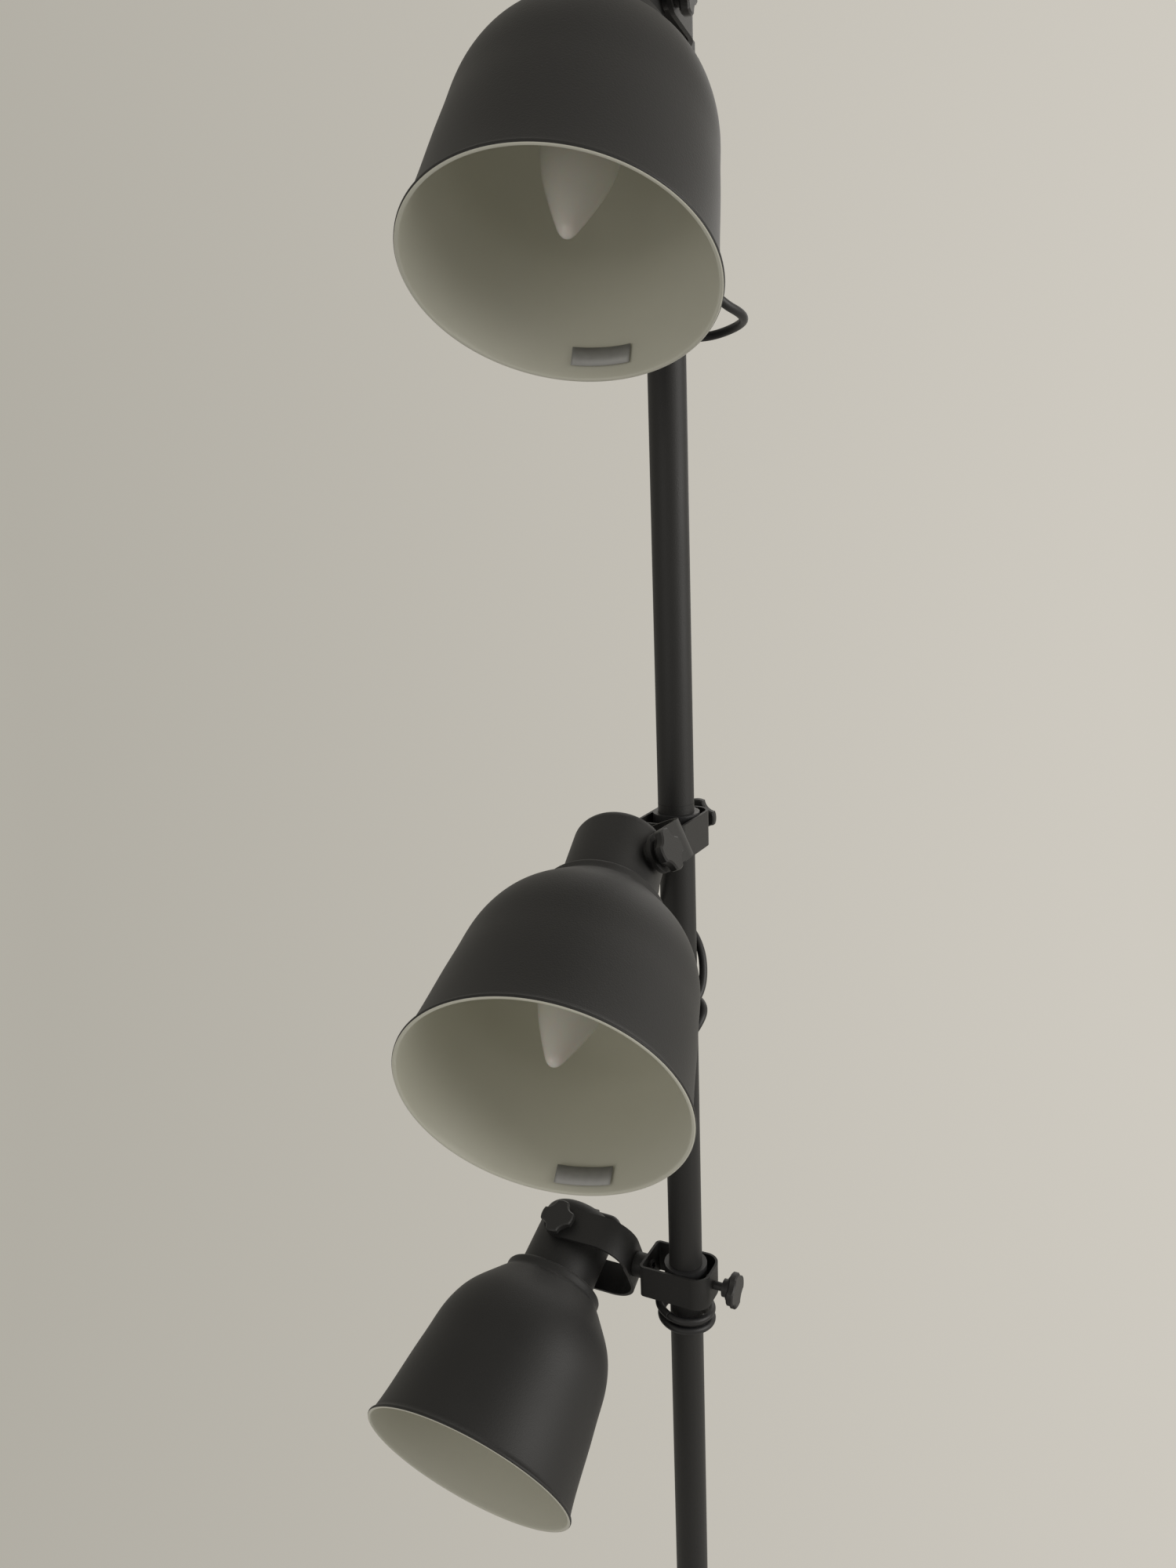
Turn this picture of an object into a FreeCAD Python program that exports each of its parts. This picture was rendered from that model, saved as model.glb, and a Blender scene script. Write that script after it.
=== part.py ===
"""Floor-to-ceiling tension pole lamp with three bell-shaped spot heads.

Millimetres, +Z up. The origin is on the floor, under the centre of the pole.
"""
import FreeCAD
import Part
import math
import os

V = FreeCAD.Vector
os.makedirs("parts", exist_ok=True)

# ---------------------------------------------------------------- driving sizes
# pole
POLE_OD = 20.0
POLE_WALL = 1.2
TUBE_LENGTH = 715.0            # one screwed-together length of pole
TOP_TUBE_LENGTH = 170.0        # short tube that holds the spring
COUPLER_LENGTH = 60.0          # spigot inside each tube joint
COUPLER_WALL = 1.6
PUSH_FIT = 0.05                # radial gap of a push fit
# floor end
PAD_THICKNESS = 4.0
PAD_INSET = 1.0                # pad's edge behind the cup's edge
FLOOR_CUP_OD = 62.0
FLOOR_CUP_HEIGHT = 30.0
FLOOR_CUP_RIM = 7.0            # straight edge at the cup's base
FLOOR_CUP_NECK_OD = 27.0
FLOOR_CUP_SWEEP = (4.6, 7.6)   # middle of the cup's hollow curve: out from the neck, up from the rim
CUP_NECK_LENGTH = 3.0          # straight end round the tube or rod, both cups
CUP_FLOOR = 6.0                # solid metal under the tube
GLAND_HEIGHT = 90.0            # height of the mains lead's gland on the pole
GLAND_OD = 11.0
GLAND_FLANGE = 2.2
GLAND_STAND = 13.0             # gland's end to the pole's axis, less the pole's radius
GLAND_BORE = 7.0
GLAND_HEX = 5.0                # length of the hexagon
GLAND_STEP = 1.0               # hexagon down to the round end
# spring end
BUSH_OD = 26.0
BUSH_HEIGHT = 32.0
BUSH_SOCKET = 20.0             # how far the bush reaches down over the tube
BUSH_EDGE = 4.0
ROD_OD = 14.0
ROD_SHOW = 74.0                # bare rod between bush and ceiling cup
ROD_FOOT = 6.0
ROD_HIDDEN = 25.0              # rod below the bush's foot
ROD_CLEARANCE = 0.06           # rod in its bush
SPRING_WIRE = 1.6
SPRING_TURNS = 12
SPRING_OD = 15.4
SPRING_STOP = 5.0
SPRING_STOP_BORE = 6.0
SPRING_END_GAP = 0.3
CEILING_CUP_OD = 52.0
CEILING_CUP_HEIGHT = 22.0
CEILING_CUP_RIM = 6.0
CEILING_CUP_NECK_OD = 22.0
CEILING_CUP_SWEEP = (4.4, 5.6)
# clamp round the pole
STRIP_WIDTH = 20.0             # pressed strip, used for the clamp and for the yoke
CLAMP_THICKNESS = 1.5
CLAMP_WIDTH = 29.4
CLAMP_REACH = 25.0             # pole's centre to the outside of the end plate
CLAMP_BACK = 18.0              # pole's centre to the outside of the knob end
CLAMP_BACK_RADIUS = 9.0
CLAMP_PLATE_RADIUS = 3.0
LINER_WALL = 2.8
LINER_HEIGHT = 22.0
LINER_CLEARANCE = 0.1
WELD_NUT_OD = 10.0
WELD_NUT_GAP = 0.4             # nut to liner
# star knobs and their screws
KNOB_OD = 21.4
KNOB_THICKNESS = 4.5
KNOB_CHAMFER = 0.8
KNOB_NOTCH_RADIUS = 7.0
KNOB_NOTCH_DEPTH = 2.4
KNOB_COLLAR_OD = 14.0
KNOB_COLLAR = 1.6
KNOB_HUB_OD = 10.6
KNOB_HUB = 3.0
SCREW_OD = 5.0
SCREW_CLEARANCE = 0.06
SCREW_TIP_GAP = 0.1
CLAMP_SCREW_SHOW = 6.4         # bare screw between the clamp and the knob's hub
TILT_HUB_GAP = 0.2             # tilt knob's collar to the yoke arm
TILT_COLLAR = 2.1
# hollow swivel bolt between clamp and yoke
NIPPLE_OD = 10.0
NIPPLE_BORE = 7.0
NIPPLE_SPACER_OD = 15.0
NIPPLE_INSIDE = 1.5            # bolt's end inside the clamp
NIPPLE_CLEARANCE = 0.05
SWIVEL_GAP = 0.2               # spacer and nut to the yoke
NUT_ACROSS_FLATS = 14.0
NUT_THICKNESS = 3.0
# yoke
YOKE_THICKNESS = 2.0
YOKE_BACK = 33.5               # pole's centre to the near face of the yoke's back
YOKE_OUTSIDE = 58.0            # over both arms
YOKE_BEND_RADIUS = 20.0        # outside of the bend
PIVOT_REACH = 79.2             # pole's centre to the tilt axis
ARM_HOLE_CLEARANCE = 0.3
# head, measured along its own axis from the tilt axis
MOUTH_DROP = 141.7             # tilt axis to the mouth
LEDGE_DROP = 25.7              # tilt axis to the top of the shade
NECK_RISE = 21.3               # tilt axis to the closed end
NECK_OD = 48.0
NECK_WALL = 1.2
NECK_EDGE_RADIUS = 7.0
BOSS_OD = 14.0
BOSS_GAP = 0.2                 # boss face to the yoke arm
SCREW_DEPTH = 9.0              # tilt screw into the neck, from the arm's inside
SHADE_WALL = 0.9
MOUTH_OD = 126.2               # shade's outside just behind the rolled rim
RIM_BEAD = 2.2                 # thickness of the rolled rim
SKIRT_LENGTH = 53.4            # nearly straight part of the shade
SKIRT_TOP_OD = 112.6
SHOULDER_OD = 62.4
SHOULDER_LENGTH = 4.2
SHOULDER_EDGE = 1.9
SHOULDER_FLARE = (1.1, 1.6)    # start of the fillet below the shoulder: out and down
BELLY = (30.0, 58.8)           # skirt's middle: height above the mouth, radius
DOME = ((17.5, 54.9), (33.2, 49.6), (43.6, 42.4))  # height above the skirt, radius
FILLET_DROP = 9.2              # ledge to where the dome's fillet ends
FILLET_OD = 69.0
HOLDER_OD = 28.0
HOLDER_DROP = 46.0             # tilt axis to the holder's mouth
HOLDER_RISE = 9.0
HOLDER_RING_OD = 40.0
HOLDER_RING = 3.0
HOLDER_CLEARANCE = 0.2
HOLDER_BORE_OD = 26.4
HOLDER_MOUTH = 5.0             # depth of the wide part of its bore
BULB_LENGTH = 76.2             # glass only
BULB_OD = 35.0
BULB_OUTLINE = ((11.0, 0.41), (24.5, 0.74), (39.0, 0.93), (51.0, 1.0), (64.0, 0.93))
BULB_FOOT_OD = 24.0
BULB_CAP_OD = 13.8
BULB_CAP_LENGTH = 25.0
CAP_CLEARANCE = 0.15
# leads and their moulded elbows
LEAD_OD = 4.6
LEAD_HOLE_CLEARANCE = 0.35
ELBOW_OD = 10.4
ELBOW_STAND = 6.8              # elbow's top above its seat
ELBOW_AXIS = 3.5               # outlet's centre above the seat
ELBOW_OUTLET_OD = 6.8
ELBOW_REACH = 8.0              # stem's centre to the outlet's mouth
ELBOW_SOCKET = 2.0             # how deep a lead's end sits in the outlet
ELBOW_STEM_OD = 7.6
ELBOW_EDGE = 2.4
COIL_RADIUS = 15.5             # bottom lead's turns round the pole
COIL_PITCH = 6.4
COIL_STEPS = 8                 # corners in one turn

# ---------------------------------------------------------------- the three heads
# height of the clamp on the pole and the three adjustments of each head in degrees:
# turn of the clamp round the pole, swivel of the yoke about its bolt, and the head's
# direction from straight out (0) to square across the arm (90)
HEADS = {
    "top": {"height": 1807.0, "turn": -109.8, "swivel": 0.0, "tilt": 58.2},
    "middle": {"height": 1424.0, "turn": -118.0, "swivel": 24.4, "tilt": 27.3},
    "bottom": {"height": 1141.0, "turn": 153.0, "swivel": 63.4, "tilt": 88.6},
}

# ---------------------------------------------------------------- worked-out sizes
POLE_R = POLE_OD / 2
POLE_IR = POLE_R - POLE_WALL
TUBE_FOOT = PAD_THICKNESS + CUP_FLOOR
JOINT_HEIGHTS = [TUBE_FOOT + TUBE_LENGTH * k for k in (1, 2, 3)]
TOP_TUBE_TOP = JOINT_HEIGHTS[2] + TOP_TUBE_LENGTH
BUSH_FOOT = TOP_TUBE_TOP - BUSH_SOCKET
BUSH_TOP = BUSH_FOOT + BUSH_HEIGHT
CEILING_CUP_FOOT = BUSH_TOP + ROD_SHOW
CEILING_CUP_TOP = CEILING_CUP_FOOT + CEILING_CUP_HEIGHT
CEILING = CEILING_CUP_TOP + PAD_THICKNESS
SPRING_STOP_TOP = JOINT_HEIGHTS[2] + COUPLER_LENGTH / 2 + SPRING_STOP
ROD_FOOT_Z = BUSH_FOOT - ROD_HIDDEN
LINER_IR = POLE_R + LINER_CLEARANCE
LINER_R = LINER_IR + LINER_WALL
LEAD_R = LEAD_OD / 2
CLAMP_IN = CLAMP_REACH - CLAMP_THICKNESS
ARM_OUT = YOKE_OUTSIDE / 2
ARM_IN = ARM_OUT - YOKE_THICKNESS
YOKE_FRONT = YOKE_BACK + YOKE_THICKNESS
NECK_R = NECK_OD / 2
NIPPLE_END = YOKE_FRONT + 2 * SWIVEL_GAP + NUT_THICKNESS


# ---------------------------------------------------------------- shape helpers
def save(name, shape):
    """Write one sub-part."""
    shape.exportStep("parts/%s.step" % name)


def cylinder(radius, z0, z1):
    """Upright cylinder about the Z axis."""
    return Part.makeCylinder(radius, z1 - z0, V(0, 0, z0))


def rod_x(radius, x0, x1):
    """Cylinder along the X axis."""
    return Part.makeCylinder(radius, x1 - x0, V(x0, 0, 0), V(1, 0, 0))


def rod_y(radius, y0, y1):
    """Cylinder along the Y axis."""
    return Part.makeCylinder(radius, y1 - y0, V(0, y0, 0), V(0, 1, 0))


def tube(outer, inner, z0, z1):
    """Upright tube about the Z axis."""
    return cylinder(outer, z0, z1).cut(cylinder(inner, z0 - 1, z1 + 1))


def line(a, b):
    """Straight edge."""
    return Part.LineSegment(a, b).toShape()


def arc(a, mid, b):
    """Arc edge from a to b through mid."""
    return Part.Arc(a, mid, b).toShape()


def curve(points):
    """Smooth edge through points."""
    spline = Part.BSplineCurve()
    spline.interpolate(points)
    return spline.toShape()


def turned(edges):
    """Turn a closed outline in the XZ plane about the Z axis."""
    return Part.Face(Part.Wire(edges)).revolve(V(0, 0, 0), V(0, 0, 1), 360)


def hexagon_x(across_flats, x0, x1):
    """Hexagonal bar along the X axis."""
    corner = across_flats / math.sqrt(3)
    ring = [V(x0, corner * math.cos(k * math.pi / 3), corner * math.sin(k * math.pi / 3))
            for k in range(7)]
    return Part.Face(Part.makePolygon(ring)).extrude(V(x1 - x0, 0, 0))


# ---------------------------------------------------------------- frames of each head
def clamp_frame(head):
    """Clamp: origin on the pole's axis, X along the arm."""
    return FreeCAD.Placement(V(0, 0, head["height"]), FreeCAD.Rotation(V(0, 0, 1), head["turn"]))


def yoke_frame(head):
    """Yoke: the clamp's frame, swivelled about the arm."""
    swivel = FreeCAD.Placement(V(0, 0, 0), FreeCAD.Rotation(V(1, 0, 0), head["swivel"]))
    return clamp_frame(head).multiply(swivel)


def head_frame(head):
    """Head: origin on the tilt axis (Y), Z from the mouth to the closed end."""
    tilt = FreeCAD.Placement(V(PIVOT_REACH, 0, 0),
                             FreeCAD.Rotation(V(0, 1, 0), head["tilt"] - 90))
    return yoke_frame(head).multiply(tilt)


def placed(shape, frame):
    """Copy of a shape in another frame."""
    copy = shape.copy()
    copy.Placement = frame.multiply(copy.Placement)
    return copy


# ---------------------------------------------------------------- pole
def coupler(height):
    """Spigot inside a tube joint, with a collarless push fit in both tubes."""
    half = COUPLER_LENGTH / 2
    outer = POLE_IR - PUSH_FIT
    return tube(outer, outer - COUPLER_WALL, height - half, height + half)


def elbow(frame, seat, stem):
    """Moulded elbow on a seat: X points out of the seat, the outlet along -Z, blind socket."""
    cap = rod_x(ELBOW_OD / 2, seat - 2.0, seat + ELBOW_STAND)
    rims = [e for e in cap.Edges if abs(e.BoundBox.XMin - seat - ELBOW_STAND) < 0.01]
    cap = cap.makeFillet(ELBOW_EDGE, rims)
    outlet = Part.makeCylinder(ELBOW_OUTLET_OD / 2, ELBOW_REACH, V(seat + ELBOW_AXIS, 0, 0),
                               V(0, 0, -1))
    socket = Part.makeCylinder(LEAD_R + LEAD_HOLE_CLEARANCE, ELBOW_SOCKET + 1,
                               V(seat + ELBOW_AXIS, 0, ELBOW_SOCKET - ELBOW_REACH), V(0, 0, -1))
    body = cap.fuse(outlet).cut(socket)
    if stem == POLE_R:
        body = body.cut(cylinder(POLE_R, -POLE_OD, POLE_OD))
        body = body.fuse(rod_x(ELBOW_STEM_OD / 2, POLE_IR - 1.0, seat + 1.0))
    else:
        body = body.cut(rod_x(ELBOW_OD, seat - 5, seat))
        body = body.fuse(rod_x(ELBOW_STEM_OD / 2, seat - NECK_WALL - 1.0, seat + 1.0))
    return placed(body.removeSplitter(), frame)


def pole_frame(height, angle):
    """Frame at a height on the pole, X pointing out at an angle."""
    return FreeCAD.Placement(V(0, 0, height), FreeCAD.Rotation(V(0, 0, 1), angle))


def floor_end():
    """Pad, cup and the gland for the mains lead."""
    base = FLOOR_CUP_OD / 2
    neck = FLOOR_CUP_NECK_OD / 2
    top = PAD_THICKNESS + FLOOR_CUP_HEIGHT
    rim = PAD_THICKNESS + FLOOR_CUP_RIM
    neck_foot = top - CUP_NECK_LENGTH
    out, up = FLOOR_CUP_SWEEP
    save("floor_pad", cylinder(base - PAD_INSET, 0, PAD_THICKNESS))
    edges = [line(V(0, 0, PAD_THICKNESS), V(base, 0, PAD_THICKNESS)),
             line(V(base, 0, PAD_THICKNESS), V(base, 0, rim)),
             arc(V(base, 0, rim), V(neck + out, 0, rim + up), V(neck, 0, neck_foot)),
             line(V(neck, 0, neck_foot), V(neck, 0, top)),
             line(V(neck, 0, top), V(0, 0, top)),
             line(V(0, 0, top), V(0, 0, PAD_THICKNESS))]
    save("floor_cup", turned(edges).cut(cylinder(POLE_R + PUSH_FIT, TUBE_FOOT, top + 1)))


def cord_gland():
    """Threaded gland at the back of the pole where the mains lead goes in."""
    seat = POLE_R + GLAND_FLANGE
    body = rod_x(GLAND_OD / 2, POLE_IR - 1.0, seat)
    body = body.fuse(hexagon_x(GLAND_OD, seat, seat + GLAND_HEX))
    body = body.fuse(rod_x(GLAND_OD / 2 - GLAND_STEP, seat + GLAND_HEX, POLE_R + GLAND_STAND))
    body = body.cut(rod_x(GLAND_BORE / 2, 0, POLE_R + GLAND_STAND + 1))
    return placed(body, pole_frame(GLAND_HEIGHT, 90))


def elbow_frame(name):
    """Frame of the elbow where a head's lead goes into the pole; its outlet points up."""
    lead = LEADS[name]
    outlet_up = FreeCAD.Placement(V(0, 0, 0), FreeCAD.Rotation(V(1, 0, 0), 180))
    height = HEADS[name]["height"] - hole_drop(name)
    return pole_frame(height, lead["hole_angle"]).multiply(outlet_up)


def pole_tubes():
    """Four tubes, with holes for the gland and for the heads' leads."""
    lengths = [(TUBE_FOOT, JOINT_HEIGHTS[0]), (JOINT_HEIGHTS[0], JOINT_HEIGHTS[1]),
               (JOINT_HEIGHTS[1], JOINT_HEIGHTS[2]), (JOINT_HEIGHTS[2], TOP_TUBE_TOP)]
    holes = [placed(rod_x(ELBOW_STEM_OD / 2, 0, POLE_OD), elbow_frame(name)) for name in HEADS]
    holes.append(placed(rod_x(GLAND_OD / 2, 0, POLE_OD), pole_frame(GLAND_HEIGHT, 90)))
    for name, (z0, z1) in zip(("lower", "middle", "upper", "top"), lengths):
        body = tube(POLE_R, POLE_IR, z0, z1)
        for hole in holes:
            body = body.cut(hole)
        save("pole_%s_tube" % name, body)
    save("tube_couplers", Part.makeCompound([coupler(z) for z in JOINT_HEIGHTS]))


def spring_end():
    """Spring stop, spring, guide bush, and the sprung rod with its ceiling cup."""
    stop_foot = SPRING_STOP_TOP - SPRING_STOP
    save("spring_stop", tube(POLE_IR - PUSH_FIT, SPRING_STOP_BORE / 2, stop_foot, SPRING_STOP_TOP))

    z0 = SPRING_STOP_TOP + SPRING_END_GAP + SPRING_WIRE / 2
    z1 = ROD_FOOT_Z - SPRING_END_GAP - SPRING_WIRE / 2
    mean = (SPRING_OD - SPRING_WIRE) / 2
    helix = Part.makeHelix((z1 - z0) / SPRING_TURNS, z1 - z0, mean)
    helix.translate(V(0, 0, z0))
    start = Part.Wire(Part.makeCircle(SPRING_WIRE / 2, V(mean, 0, z0), V(0, 1, 0)))
    sweep = Part.Wire(helix.Edges).makePipeShell([start], True, True)
    save("tension_spring", sweep)

    bush = cylinder(BUSH_OD / 2, BUSH_FOOT, BUSH_TOP)
    bush = bush.cut(cylinder(POLE_R + PUSH_FIT, BUSH_FOOT - 1, TOP_TUBE_TOP))
    bush = bush.cut(cylinder(ROD_OD / 2 + ROD_CLEARANCE, BUSH_FOOT, BUSH_TOP + 1))
    top_edges = [e for e in bush.Edges if abs(e.BoundBox.ZMin - BUSH_TOP) < 0.01
                 and e.BoundBox.XLength > BUSH_OD - 1]
    save("guide_bush", bush.makeFillet(BUSH_EDGE, top_edges))

    rod = cylinder(ROD_OD / 2, ROD_FOOT_Z, CEILING_CUP_FOOT + CEILING_CUP_HEIGHT / 2)
    foot = cylinder(POLE_IR - LINER_CLEARANCE, ROD_FOOT_Z, ROD_FOOT_Z + ROD_FOOT)
    save("plunger_rod", rod.fuse(foot).removeSplitter())

    rim = CEILING_CUP_OD / 2
    neck = CEILING_CUP_NECK_OD / 2
    rim_foot = CEILING_CUP_TOP - CEILING_CUP_RIM
    neck_top = CEILING_CUP_FOOT + CUP_NECK_LENGTH
    out, down = CEILING_CUP_SWEEP
    edges = [line(V(0, 0, CEILING_CUP_FOOT), V(neck, 0, CEILING_CUP_FOOT)),
             line(V(neck, 0, CEILING_CUP_FOOT), V(neck, 0, neck_top)),
             arc(V(neck, 0, neck_top), V(neck + out, 0, rim_foot - down), V(rim, 0, rim_foot)),
             line(V(rim, 0, rim_foot), V(rim, 0, CEILING_CUP_TOP)),
             line(V(rim, 0, CEILING_CUP_TOP), V(0, 0, CEILING_CUP_TOP)),
             line(V(0, 0, CEILING_CUP_TOP), V(0, 0, CEILING_CUP_FOOT))]
    socket = cylinder(ROD_OD / 2, CEILING_CUP_FOOT - 1, CEILING_CUP_FOOT + CEILING_CUP_HEIGHT / 2)
    save("ceiling_cup", turned(edges).cut(socket))
    save("ceiling_pad", cylinder(rim - PAD_INSET, CEILING_CUP_TOP, CEILING))


# ---------------------------------------------------------------- knobs
def star_knob(collar, hub, shaft):
    """Star knob on its screw: plate on the YZ plane, grip on the +X side, screw towards -X."""
    radius = KNOB_OD / 2
    plate = rod_x(radius, 0, KNOB_THICKNESS)
    reach = radius + KNOB_NOTCH_RADIUS - KNOB_NOTCH_DEPTH
    for k in range(4):
        angle = math.radians(45 + 90 * k)
        notch = rod_x(KNOB_NOTCH_RADIUS, -1, KNOB_THICKNESS + 1)
        notch.translate(V(0, reach * math.cos(angle), reach * math.sin(angle)))
        plate = plate.cut(notch)
    rims = [e for e in plate.Edges if e.BoundBox.XLength < 0.01]
    plate = plate.makeChamfer(KNOB_CHAMFER, rims)
    body = plate.fuse(rod_x(KNOB_COLLAR_OD / 2, -collar, 0))
    if hub > 0:
        body = body.fuse(rod_x(KNOB_HUB_OD / 2, -collar - hub, -collar))
    body = body.fuse(rod_x(SCREW_OD / 2, -collar - hub - shaft, -collar - hub))
    return body.removeSplitter()


# ---------------------------------------------------------------- clamp
def rounded_loop(x0, x1, half, back_radius, plate_radius, height):
    """Upright bar with a rounded rectangle as its section, sharper at the +X end."""
    b = back_radius
    p = plate_radius
    c = math.sqrt(0.5)
    z = -height / 2
    edges = [line(V(x0 + b, -half, z), V(x1 - p, -half, z)),
             arc(V(x1 - p, -half, z), V(x1 - p + c * p, -half + p - c * p, z), V(x1, -half + p, z)),
             line(V(x1, -half + p, z), V(x1, half - p, z)),
             arc(V(x1, half - p, z), V(x1 - p + c * p, half - p + c * p, z), V(x1 - p, half, z)),
             line(V(x1 - p, half, z), V(x0 + b, half, z)),
             arc(V(x0 + b, half, z), V(x0 + b - c * b, half - b + c * b, z), V(x0, half - b, z)),
             line(V(x0, half - b, z), V(x0, -half + b, z)),
             arc(V(x0, -half + b, z), V(x0 + b - c * b, -half + b - c * b, z), V(x0 + b, -half, z))]
    return Part.Face(Part.Wire(edges)).extrude(V(0, 0, height))


def clamp_band():
    """Strip bent round the pole, with the welded nut for the clamp screw."""
    half = CLAMP_WIDTH / 2
    t = CLAMP_THICKNESS
    outer = rounded_loop(-CLAMP_BACK, CLAMP_REACH, half, CLAMP_BACK_RADIUS, CLAMP_PLATE_RADIUS,
                         STRIP_WIDTH)
    inner = rounded_loop(-CLAMP_BACK + t, CLAMP_REACH - t, half - t, CLAMP_BACK_RADIUS - t,
                         CLAMP_PLATE_RADIUS - t, STRIP_WIDTH + 2)
    nut = rod_x(WELD_NUT_OD / 2, -CLAMP_BACK + t, -LINER_R - WELD_NUT_GAP)
    band = outer.cut(inner).fuse(nut)
    band = band.cut(rod_x(SCREW_OD / 2 + SCREW_CLEARANCE, -CLAMP_BACK - 1, -LINER_R))
    return band.cut(rod_x(NIPPLE_OD / 2, CLAMP_IN - 1, CLAMP_REACH + 1)).removeSplitter()


def swivel_nipple():
    """Hollow bolt with its spacer; the head's lead runs through it."""
    body = rod_x(NIPPLE_OD / 2, CLAMP_IN - NIPPLE_INSIDE, NIPPLE_END)
    body = body.fuse(rod_x(NIPPLE_SPACER_OD / 2, CLAMP_REACH, YOKE_BACK - SWIVEL_GAP))
    return body.cut(rod_x(NIPPLE_BORE / 2, 0, NIPPLE_END + 1)).removeSplitter()


def swivel_nut():
    """Nut that holds the yoke on the hollow bolt."""
    start = YOKE_FRONT + SWIVEL_GAP
    nut = hexagon_x(NUT_ACROSS_FLATS, start, start + NUT_THICKNESS)
    return nut.cut(rod_x(NIPPLE_OD / 2, start - 1, start + NUT_THICKNESS + 1))


def clamp_knob():
    """Knob behind the pole whose screw presses the liner."""
    plate = CLAMP_BACK + CLAMP_SCREW_SHOW + KNOB_HUB + KNOB_COLLAR
    shaft = plate - KNOB_HUB - KNOB_COLLAR - LINER_R - SCREW_TIP_GAP
    knob = star_knob(KNOB_COLLAR, KNOB_HUB, shaft)
    facing = FreeCAD.Placement(V(-plate, 0, 0), FreeCAD.Rotation(V(0, 0, 1), 180))
    return placed(knob, facing)


# ---------------------------------------------------------------- yoke
def yoke():
    """U-shaped strip from the swivel bolt to the tilt axis, ends rounded."""
    def u_bar(x0, half, bend):
        """Solid U outline from x0 to past the tilt axis."""
        c = bend * (1 - math.sqrt(0.5))
        end = PIVOT_REACH + STRIP_WIDTH
        z = -STRIP_WIDTH / 2
        edges = [line(V(end, -half, z), V(x0 + bend, -half, z)),
                 arc(V(x0 + bend, -half, z), V(x0 + c, -half + c, z), V(x0, -half + bend, z)),
                 line(V(x0, -half + bend, z), V(x0, half - bend, z)),
                 arc(V(x0, half - bend, z), V(x0 + c, half - c, z), V(x0 + bend, half, z)),
                 line(V(x0 + bend, half, z), V(end, half, z)),
                 line(V(end, half, z), V(end, -half, z))]
        return Part.Face(Part.Wire(edges)).extrude(V(0, 0, STRIP_WIDTH))

    inner = u_bar(YOKE_FRONT, ARM_IN, YOKE_BEND_RADIUS - YOKE_THICKNESS)
    strip = u_bar(YOKE_BACK, ARM_OUT, YOKE_BEND_RADIUS).cut(inner)
    reach = Part.makeBox(PIVOT_REACH - YOKE_BACK + 1, YOKE_OUTSIDE + 2, STRIP_WIDTH,
                         V(YOKE_BACK - 1, -ARM_OUT - 1, -STRIP_WIDTH / 2))
    ends = rod_y(STRIP_WIDTH / 2, -ARM_OUT - 1, ARM_OUT + 1)
    ends.translate(V(PIVOT_REACH, 0, 0))
    strip = strip.common(reach.fuse(ends))
    screw = rod_y(SCREW_OD / 2 + ARM_HOLE_CLEARANCE, -ARM_OUT - 1, ARM_OUT + 1)
    screw.translate(V(PIVOT_REACH, 0, 0))
    strip = strip.cut(screw)
    return strip.cut(rod_x(NIPPLE_OD / 2 + NIPPLE_CLEARANCE, YOKE_BACK - 1, YOKE_FRONT + 1))


def tilt_knob(side):
    """Knob and screw on one side of the yoke; side is 1 or -1."""
    plate = ARM_OUT + TILT_HUB_GAP + TILT_COLLAR
    shaft = plate - TILT_COLLAR - ARM_IN + SCREW_DEPTH
    knob = star_knob(TILT_COLLAR, 0, shaft)
    facing = FreeCAD.Placement(V(0, side * plate, 0), FreeCAD.Rotation(V(0, 0, 1), side * 90))
    return placed(knob, facing)


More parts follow.
